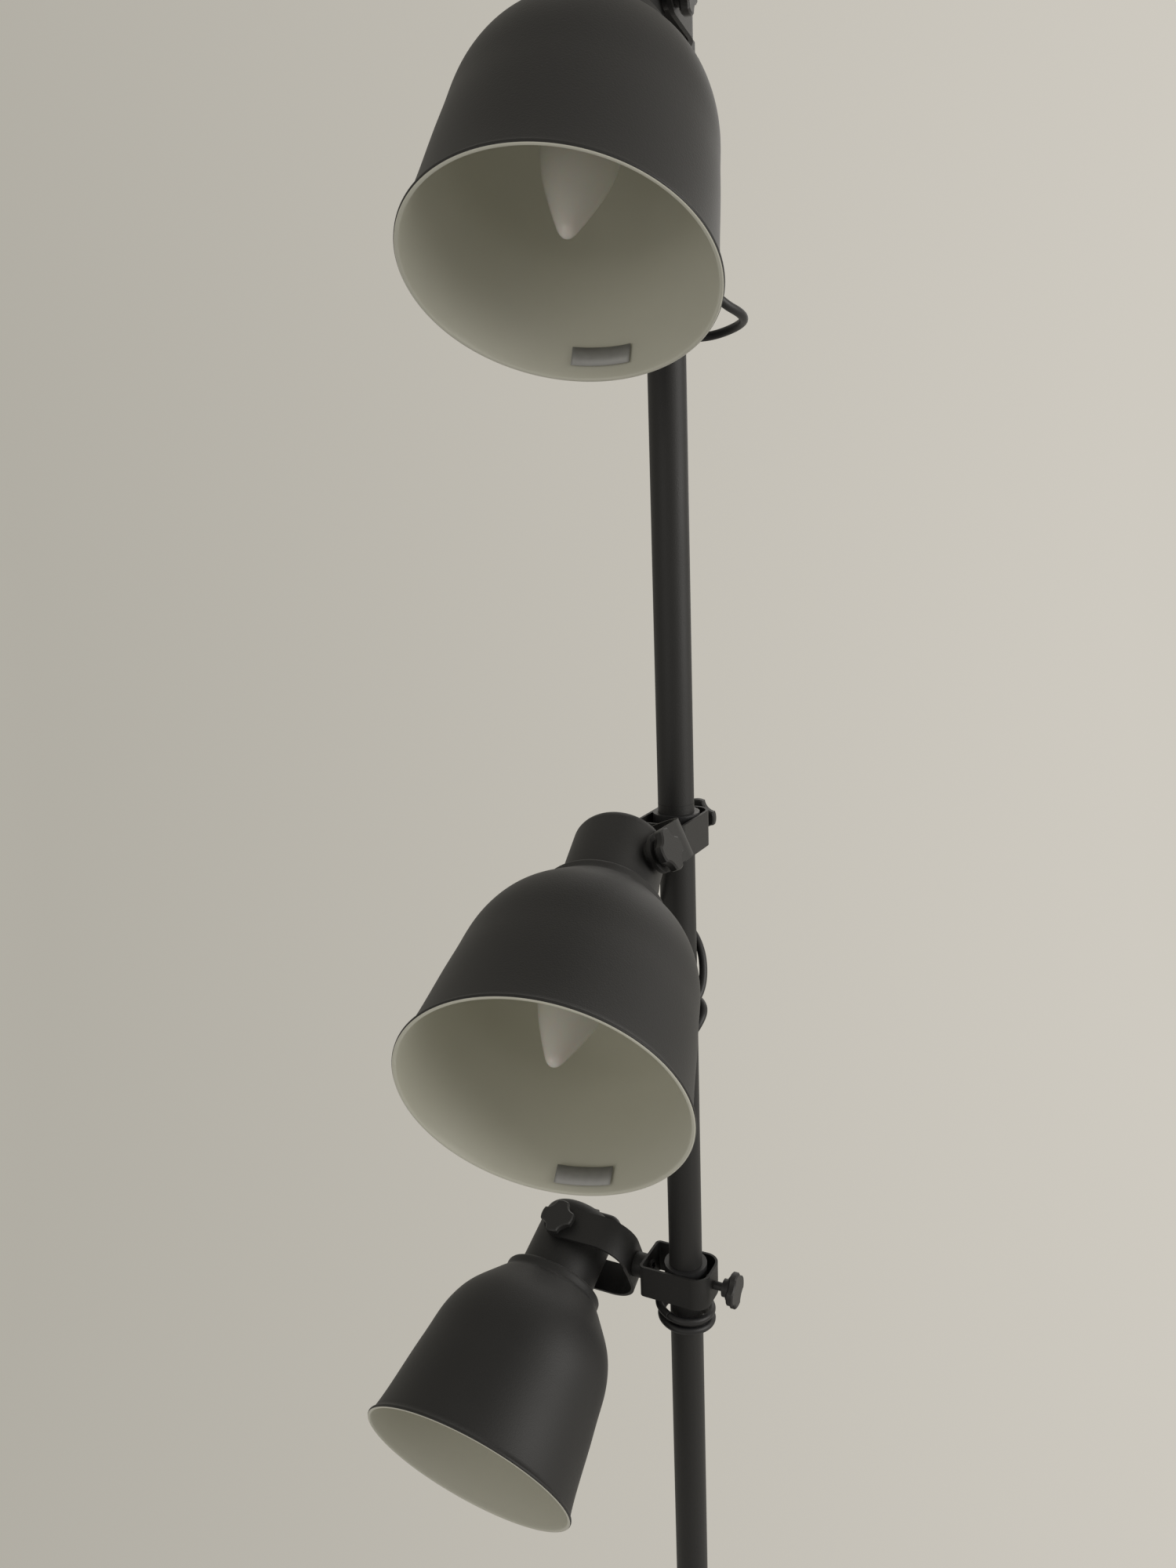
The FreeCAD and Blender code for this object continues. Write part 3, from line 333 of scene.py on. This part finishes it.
# ---------------------------------------------------------------- plastic, rubber and bare metal
# Black moulded liners, elbows, gland and bush, rubber pads, and the plated parts at the spring end
# and inside the pole.
def plain_finish(name, colour, metal, gloss, grain, grain_depth):
    """Moulded or plated surface with a faint grain in colour, gloss and bump."""
    material = bpy.data.materials.new(name)
    material.use_nodes = True
    nodes = material.node_tree.nodes
    links = material.node_tree.links
    shader = nodes["Principled BSDF"]
    shader.inputs["Metallic"].default_value = metal
    place = nodes.new("ShaderNodeTexCoord")
    noise = nodes.new("ShaderNodeTexNoise")
    noise.inputs["Scale"].default_value = grain
    noise.inputs["Detail"].default_value = 4.0
    tint = nodes.new("ShaderNodeValToRGB")
    tint.color_ramp.elements[0].color = (*[c * 0.86 for c in colour], 1.0)
    tint.color_ramp.elements[1].color = (*[min(1.0, c * 1.12) for c in colour], 1.0)
    roughness = nodes.new("ShaderNodeMapRange")
    roughness.inputs["To Min"].default_value = gloss * 0.8
    roughness.inputs["To Max"].default_value = gloss * 1.25
    bump = nodes.new("ShaderNodeBump")
    bump.inputs["Strength"].default_value = 0.25
    bump.inputs["Distance"].default_value = grain_depth
    links.new(place.outputs["Object"], noise.inputs["Vector"])
    links.new(noise.outputs["Fac"], tint.inputs["Fac"])
    links.new(tint.outputs["Color"], shader.inputs["Base Color"])
    links.new(noise.outputs["Fac"], roughness.inputs["Value"])
    links.new(roughness.outputs["Result"], shader.inputs["Roughness"])
    links.new(noise.outputs["Fac"], bump.inputs["Height"])
    links.new(bump.outputs["Normal"], shader.inputs["Normal"])
    return material


black_plastic = plain_finish("black_plastic", (0.022, 0.022, 0.023), 0.0, 0.45, 700.0, 0.0001)
pad_rubber = plain_finish("pad_rubber", (0.018, 0.018, 0.018), 0.0, 0.75, 400.0, 0.0003)
zinc = plain_finish("zinc", (0.52, 0.53, 0.55), 1.0, 0.38, 250.0, 0.00005)
bright_rod = plain_finish("bright_rod", (0.70, 0.70, 0.71), 1.0, 0.14, 120.0, 0.00002)
holder_plastic = plain_finish("holder_plastic", (0.70, 0.67, 0.60), 0.0, 0.40, 300.0, 0.0001)
cap_brass = plain_finish("cap_brass", (0.72, 0.62, 0.42), 1.0, 0.30, 200.0, 0.00005)
for node in ("cord_gland", "guide_bush", "pole_elbows"):
    finish_node(node, black_plastic)
for node in ("floor_pad", "ceiling_pad"):
    finish_node(node, pad_rubber)
for node in ("tube_couplers", "spring_stop", "tension_spring"):
    finish_node(node, zinc)
finish_node("plunger_rod", bright_rod)
for name in HEADS:
    finish_node(name + "_liner", black_plastic)
    finish_node(name + "_neck_elbow", black_plastic)
    finish_node(name + "_lamp_holder", holder_plastic)
    finish_node(name + "_bulb_cap", cap_brass)


# ---------------------------------------------------------------- shades
# Spun bells, dark outside and cream enamel inside, with a rolled rim that shows a thin pale line
# at its lip. Heights run from the mouth up; the outline is half of the outside.
MOUTH_DROP = 0.1417
SHADE_WALL = 0.0009
SHADE_TURNS = 192
SHADE_OUTLINE = [(0.0000, 0.0631), (0.0058, 0.0618), (0.0162, 0.0603), (0.0301, 0.0591),
                 (0.0464, 0.0577), (0.0534, 0.0563), (0.0626, 0.0558), (0.0709, 0.0549),
                 (0.0790, 0.0527), (0.0866, 0.0496), (0.0915, 0.0466), (0.0970, 0.0424),
                 (0.1020, 0.0381), (0.1068, 0.0345), (0.1083, 0.0330), (0.1096, 0.0315),
                 (0.1104, 0.0312), (0.1141, 0.0312)]
SHADE_LEDGE = 0.1160
SHOULDER_RADIUS = 0.0312
HOLDER_HOLE = 0.0145
RIM_RADIUS = 0.0011
RIM_CENTRE = 0.0630
RIM_TOP = 0.0024
SHOULDER_ROUND = 0.0019


def smooth_outline(points, steps, smoothing):
    """More points on a smooth line through (height, radius) points, then evened out."""
    line = []
    for k in range(len(points) - 1):
        p0 = points[max(k - 1, 0)]
        p1, p2 = points[k], points[k + 1]
        p3 = points[min(k + 2, len(points) - 1)]
        for j in range(steps):
            t = j / steps
            line.append(tuple(0.5 * (2 * b + (c - a) * t + (2 * a - 5 * b + 4 * c - d) * t * t
                                     + (3 * b - a - 3 * c + d) * t ** 3)
                              for a, b, c, d in zip(p0, p1, p2, p3)))
    line.append(points[-1])
    for _ in range(smoothing):
        line = [line[0]] + [((a[0] + 2 * b[0] + c[0]) / 4, (a[1] + 2 * b[1] + c[1]) / 4)
                            for a, b, c in zip(line, line[1:], line[2:])] + [line[-1]]
    return line


def turned_piece(name, outline, turns, matrix, second_from=None):
    """Surface turned from (radius, z) points; faces from `second_from` on get material 1."""
    points = []
    for radius, z in outline:
        for j in range(turns):
            angle = 2.0 * math.pi * j / turns
            points.append(matrix @ mathutils.Vector((radius * math.cos(angle),
                                                     radius * math.sin(angle), z)))
    faces = []
    for k in range(len(outline) - 1):
        for j in range(turns):
            a = k * turns + j
            b = k * turns + (j + 1) % turns
            faces.append((a, b, b + turns, a + turns))
    piece = link_mesh(name, points, faces)
    if second_from is not None:
        for face in piece.data.polygons:
            face.material_index = 1 if face.index // turns >= second_from else 0
    return piece


def enamel():
    """Warm cream enamel with a soft gloss and a faint orange-peel surface."""
    material = bpy.data.materials.new("cream_enamel")
    material.use_nodes = True
    nodes = material.node_tree.nodes
    links = material.node_tree.links
    shader = nodes["Principled BSDF"]
    shader.inputs["Roughness"].default_value = 0.42
    place = nodes.new("ShaderNodeTexCoord")
    drift = nodes.new("ShaderNodeTexNoise")
    drift.inputs["Scale"].default_value = 9.0
    drift.inputs["Detail"].default_value = 3.0
    tint = nodes.new("ShaderNodeValToRGB")
    tint.color_ramp.elements[0].color = (0.62, 0.61, 0.50, 1.0)
    tint.color_ramp.elements[1].color = (0.70, 0.69, 0.60, 1.0)
    peel = nodes.new("ShaderNodeTexNoise")
    peel.inputs["Scale"].default_value = 420.0
    bump = nodes.new("ShaderNodeBump")
    bump.inputs["Strength"].default_value = 0.10
    bump.inputs["Distance"].default_value = 0.0002
    links.new(place.outputs["Object"], drift.inputs["Vector"])
    links.new(place.outputs["Object"], peel.inputs["Vector"])
    links.new(drift.outputs["Fac"], tint.inputs["Fac"])
    links.new(tint.outputs["Color"], shader.inputs["Base Color"])
    links.new(peel.outputs["Fac"], bump.inputs["Height"])
    links.new(bump.outputs["Normal"], shader.inputs["Normal"])
    return material


shade_coat = powder_coat("shade_coat", 0.019, 1300.0, 0.52)
cream = enamel()
skirt = smooth_outline(SHADE_OUTLINE, 6, 40)
round_at = (SHOULDER_RADIUS - SHOULDER_ROUND, SHADE_LEDGE - SHOULDER_ROUND)
outside = [(HOLDER_HOLE, SHADE_LEDGE), (round_at[0], SHADE_LEDGE)]
outside += [(round_at[0] + SHOULDER_ROUND * math.sin(a), round_at[1] + SHOULDER_ROUND * math.cos(a))
            for a in (math.radians(d) for d in (20, 45, 70))]
outside += [(radius, height) for height, radius in reversed(skirt) if height > RIM_TOP]
outside += [(RIM_CENTRE + RIM_RADIUS * math.cos(a), RIM_RADIUS + RIM_RADIUS * math.sin(a))
            for a in (math.radians(d) for d in (70, 40, 10, -20, -50, -80))]
lip = len(outside) - 2
inside = [(RIM_CENTRE + RIM_RADIUS * math.cos(a), RIM_RADIUS + RIM_RADIUS * math.sin(a))
          for a in (math.radians(d) for d in (-110, -140, -170))]
inside += [(radius - SHADE_WALL, height) for height, radius in skirt
           if RIM_TOP < height < SHADE_OUTLINE[-1][0]]
inside += [(SHOULDER_RADIUS - SHADE_WALL, SHADE_LEDGE - SHADE_WALL),
           (HOLDER_HOLE, SHADE_LEDGE - SHADE_WALL)]
for name, head in HEADS.items():
    outline = [(radius, height - MOUTH_DROP) for radius, height in outside + inside]
    piece = turned_piece(name + "_bell", outline, SHADE_TURNS, head_matrix(head), second_from=lip)
    piece.data.materials.append(shade_coat)
    piece.data.materials.append(cream)
    piece.data.set_sharp_from_angle(angle=math.radians(50.0))
    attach(piece, name + "_head")
    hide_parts(name + "_shade")
    finish_node(name + "_neck_cup", shade_coat, 40.0)


# ---------------------------------------------------------------- tube joints
# The pole's tubes meet end to end on a spigot. The joint shows as a fine dark line where the coat
# stops at the tubes' edges; the thin near-black ring laid over it is painted shade for the hairline
# gap there.
JOINT_LINE = 0.0004
JOINT_PROUD = 0.00003
joint_shadow = plain_finish("joint_shadow", (0.006, 0.006, 0.006), 0.0, 0.7, 200.0, 0.00002)
for name, tube in (("lower", "pole_lower_tube"), ("middle", "pole_middle_tube"),
                   ("upper", "pole_upper_tube")):
    low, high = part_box(tube)
    radius = high[0] + JOINT_PROUD
    outline = [(radius, high[2] - JOINT_LINE / 2), (radius, high[2] + JOINT_LINE / 2)]
    ring = turned_piece(name + "_joint_line", outline, 96, mathutils.Matrix())
    ring.data.materials.append(joint_shadow)
    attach(ring, "pole")


# ---------------------------------------------------------------- bulbs
# Opal candle bulbs: a soft white glass that narrows to a rounded tip and stands in the holder
# with a small screw cap.
BULB_FOOT = -0.046
BULB_OUTLINE = [(0.0000, 0.0000), (0.0004, 0.0016), (0.0014, 0.0028), (0.0032, 0.0040),
                (0.0060, 0.0053), (0.0110, 0.0075), (0.0170, 0.00995), (0.0245, 0.0128),
                (0.0320, 0.0150), (0.0390, 0.0164), (0.0460, 0.0173), (0.0510, 0.0175),
                (0.0570, 0.0172), (0.0640, 0.0161), (0.0700, 0.0142), (0.0762, 0.0120)]


def opal_glass():
    """White opal glass: light spreads in it, and the skin is smooth."""
    material = bpy.data.materials.new("opal_glass")
    material.use_nodes = True
    nodes = material.node_tree.nodes
    links = material.node_tree.links
    shader = nodes["Principled BSDF"]
    shader.inputs["Roughness"].default_value = 0.22
    shader.inputs["Subsurface Weight"].default_value = 0.35
    shader.inputs["Subsurface Scale"].default_value = 0.01
    place = nodes.new("ShaderNodeTexCoord")
    cloud = nodes.new("ShaderNodeTexNoise")
    cloud.inputs["Scale"].default_value = 40.0
    tint = nodes.new("ShaderNodeValToRGB")
    tint.color_ramp.elements[0].color = (0.70, 0.69, 0.63, 1.0)
    tint.color_ramp.elements[1].color = (0.76, 0.75, 0.70, 1.0)
    links.new(place.outputs["Object"], cloud.inputs["Vector"])
    links.new(cloud.outputs["Fac"], tint.inputs["Fac"])
    links.new(tint.outputs["Color"], shader.inputs["Base Color"])
    return material


opal = opal_glass()
for name, head in HEADS.items():
    tip = BULB_FOOT - BULB_OUTLINE[-1][0]
    outline = [(radius, tip + height) for height, radius in smooth_outline(BULB_OUTLINE, 5, 2)]
    outline.append((0.0, BULB_FOOT))
    piece = turned_piece(name + "_bulb", outline, 96, head_matrix(head))
    piece.data.set_sharp_from_angle(angle=math.radians(60.0))
    piece.data.materials.append(opal)
    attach(piece, name + "_head")
    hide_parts(name + "_bulb_glass")


# ---------------------------------------------------------------- stickers
# Small grey foil label, left blank, stuck inside the rim of the top and the middle shade.
STICKERS = {"top": (-178.0, 0.0055), "middle": (-160.5, 0.0030)}
STICKER_LENGTH = 0.0265
STICKER_WIDTH = 0.0085
STICKER_ROWS = 2
STICKER_STEPS = 16
STICKER_RADIUS = 0.0606
WALL_TAPER = 0.13
foil = plain_finish("sticker_foil", (0.36, 0.36, 0.35), 0.2, 0.45, 300.0, 0.00005)
for name, (angle, from_lip) in STICKERS.items():
    matrix = head_matrix(HEADS[name])
    points = []
    for row in range(STICKER_ROWS + 1):
        height = from_lip + STICKER_WIDTH * row / STICKER_ROWS
        radius = STICKER_RADIUS - WALL_TAPER * height
        spread = STICKER_LENGTH / radius
        for column in range(STICKER_STEPS + 1):
            turn = math.radians(angle) + spread * (column / STICKER_STEPS - 0.5)
            points.append(matrix @ mathutils.Vector((radius * math.cos(turn),
                                                     radius * math.sin(turn),
                                                     height - MOUTH_DROP)))
    row_size = STICKER_STEPS + 1
    corners = (0, 1, row_size + 1, row_size)
    faces = [tuple(r * row_size + c + corner for corner in corners)
             for r in range(STICKER_ROWS) for c in range(STICKER_STEPS)]
    piece = link_mesh(name + "_sticker", points, faces)
    thick = piece.modifiers.new("thickness", "SOLIDIFY")
    thick.thickness = 0.0002
    piece.data.materials.append(foil)
    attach(piece, name + "_head")


# ---------------------------------------------------------------- floor, light and background
# A pale floor under the pole, one broad window-like light from the right, weak ones from the
# left and from behind, and a pale warm surround, lighter towards the right.
FLOOR_RADIUS = 0.6
FLOOR_SIDES = 96
floor_turns = [2 * math.pi * k / FLOOR_SIDES for k in range(FLOOR_SIDES)]
floor_points = [(FLOOR_RADIUS * math.cos(a), FLOOR_RADIUS * math.sin(a), -0.0005)
                for a in floor_turns]
floor = link_mesh("floor", floor_points, [tuple(range(FLOOR_SIDES))], smooth=False)
floor_material = bpy.data.materials.new("pale_floor")
floor_material.use_nodes = True
floor_shader = floor_material.node_tree.nodes["Principled BSDF"]
floor_shader.inputs["Base Color"].default_value = (0.72, 0.70, 0.67, 1.0)
floor_shader.inputs["Roughness"].default_value = 0.85
floor.data.materials.append(floor_material)


def area_light(name, at, target, size, power, colour):
    """Soft square light aimed at a point."""
    data = bpy.data.lights.new(name, "AREA")
    data.size = size
    data.energy = power
    data.color = colour
    light = bpy.data.objects.new(name, data)
    light.location = at
    aim = mathutils.Vector(target) - mathutils.Vector(at)
    light.rotation_euler = aim.to_track_quat("-Z", "Y").to_euler()
    bpy.context.collection.objects.link(light)


area_light("window", (2.1, -0.9, 2.0), (0.0, 0.0, 1.45), 1.5, 34.0, (1.0, 0.98, 0.95))
area_light("room", (-1.7, -2.0, 1.5), (0.0, 0.0, 1.45), 1.8, 10.0, (1.0, 0.97, 0.93))
area_light("back", (0.9, 2.1, 2.2), (0.0, 0.0, 1.45), 1.6, 8.0, (1.0, 0.98, 0.96))

world = bpy.data.worlds.new("surround")
bpy.context.scene.world = world
world.use_nodes = True
world_nodes = world.node_tree.nodes
world_links = world.node_tree.links
wall = world_nodes["Background"]
wall.inputs["Strength"].default_value = 1.0
sky = world_nodes.new("ShaderNodeBackground")
sky.inputs["Color"].default_value = (0.80, 0.78, 0.75, 1.0)
sky.inputs["Strength"].default_value = 0.37
heading = world_nodes.new("ShaderNodeTexCoord")
split = world_nodes.new("ShaderNodeSeparateXYZ")
across = world_nodes.new("ShaderNodeMapRange")
across.inputs["From Min"].default_value = -0.42
across.inputs["From Max"].default_value = 0.42
tone = world_nodes.new("ShaderNodeValToRGB")
tone.color_ramp.elements[0].color = (0.44, 0.42, 0.37, 1.0)
tone.color_ramp.elements[1].color = (0.62, 0.59, 0.53, 1.0)
world_links.new(heading.outputs["Generated"], split.inputs["Vector"])
world_links.new(split.outputs["X"], across.inputs["Value"])
world_links.new(across.outputs["Result"], tone.inputs["Fac"])
world_links.new(tone.outputs["Color"], wall.inputs["Color"])
ray = world_nodes.new("ShaderNodeLightPath")
seen = world_nodes.new("ShaderNodeMath")
seen.operation = "MAXIMUM"
seen_too = world_nodes.new("ShaderNodeMath")
seen_too.operation = "MAXIMUM"
mix = world_nodes.new("ShaderNodeMixShader")
world_links.new(ray.outputs["Is Camera Ray"], seen.inputs[0])
world_links.new(ray.outputs["Is Glossy Ray"], seen.inputs[1])
world_links.new(seen.outputs["Value"], seen_too.inputs[0])
world_links.new(ray.outputs["Is Transmission Ray"], seen_too.inputs[1])
world_links.new(seen_too.outputs["Value"], mix.inputs["Fac"])
world_links.new(sky.outputs["Background"], mix.inputs[1])
world_links.new(wall.outputs["Background"], mix.inputs[2])
world_links.new(mix.outputs["Shader"], world_nodes["World Output"].inputs["Surface"])
